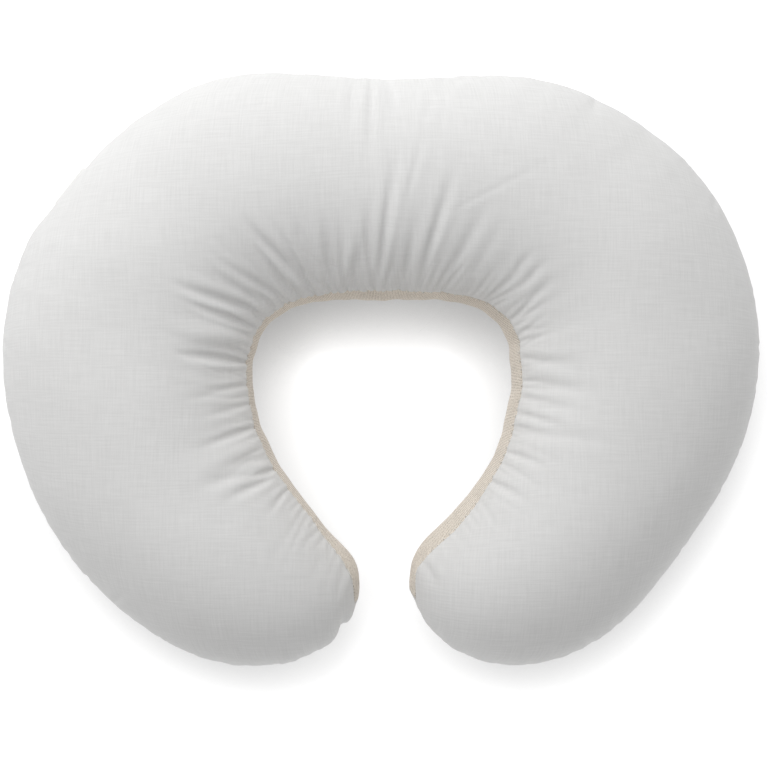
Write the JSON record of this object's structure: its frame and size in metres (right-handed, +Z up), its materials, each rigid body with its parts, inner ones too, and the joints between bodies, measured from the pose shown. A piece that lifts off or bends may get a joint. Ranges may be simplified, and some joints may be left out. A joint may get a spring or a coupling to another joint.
{
  "type": "nursing pillow",
  "caption": "C-shaped stuffed nursing pillow: woven casing gathered onto a knitted stretch band round the waist opening, fibre filling, sewn seams and a blank label.",
  "frame": {"origin": "on the surface that the pillow lies on, below the middle of its outline", "axes": "+Z up, +Y towards the closed back, -Y towards the mouth between the two arms, +X to the right seen from above with the back away from the viewer"},
  "size_m": [0.5611, 0.4399, 0.1441],
  "materials": {
    "casing_fabric": "plain-woven white cotton",
    "band_knit": "heathered tan ribbed knit",
    "fibre_fill": "loose polyester fibre",
    "sewing_thread": "spun polyester thread",
    "label_ribbon": "satin ribbon, blank"
  },
  "bodies": {
    "left_side": {"fill_left": "fibre_fill", "top_panel": "casing_fabric", "bottom_panel": "casing_fabric", "stretch_band": "band_knit", "outer_seam_needle_thread": "sewing_thread", "outer_seam_bobbin_thread": "sewing_thread", "band_upper_thread": "sewing_thread", "band_lower_thread": "sewing_thread", "closing_thread": "sewing_thread"},
    "right_side": {"fill_right": "fibre_fill"},
    "label": {"care_label": "label_ribbon"}
  },
  "joints": [
    {"name": "arms_spread", "type": "hinge", "parent": "left_side", "child": "right_side", "pos_m": [0, 0.133, 0], "axis": [0, 0, 1], "range_deg": [-6, 24], "stiffness_Nm_per_rad": 2.5, "deforming": ["top_panel", "bottom_panel", "stretch_band", "outer_seam_needle_thread", "outer_seam_bobbin_thread", "band_upper_thread", "band_lower_thread", "closing_thread"]},
    {"name": "label_flap", "type": "hinge", "parent": "left_side", "child": "label", "pos_m": [-0.23239, 0.13782, 0.07], "axis": [0.6225, 0.7826, 0], "range_deg": [-4, 150]}
  ]
}
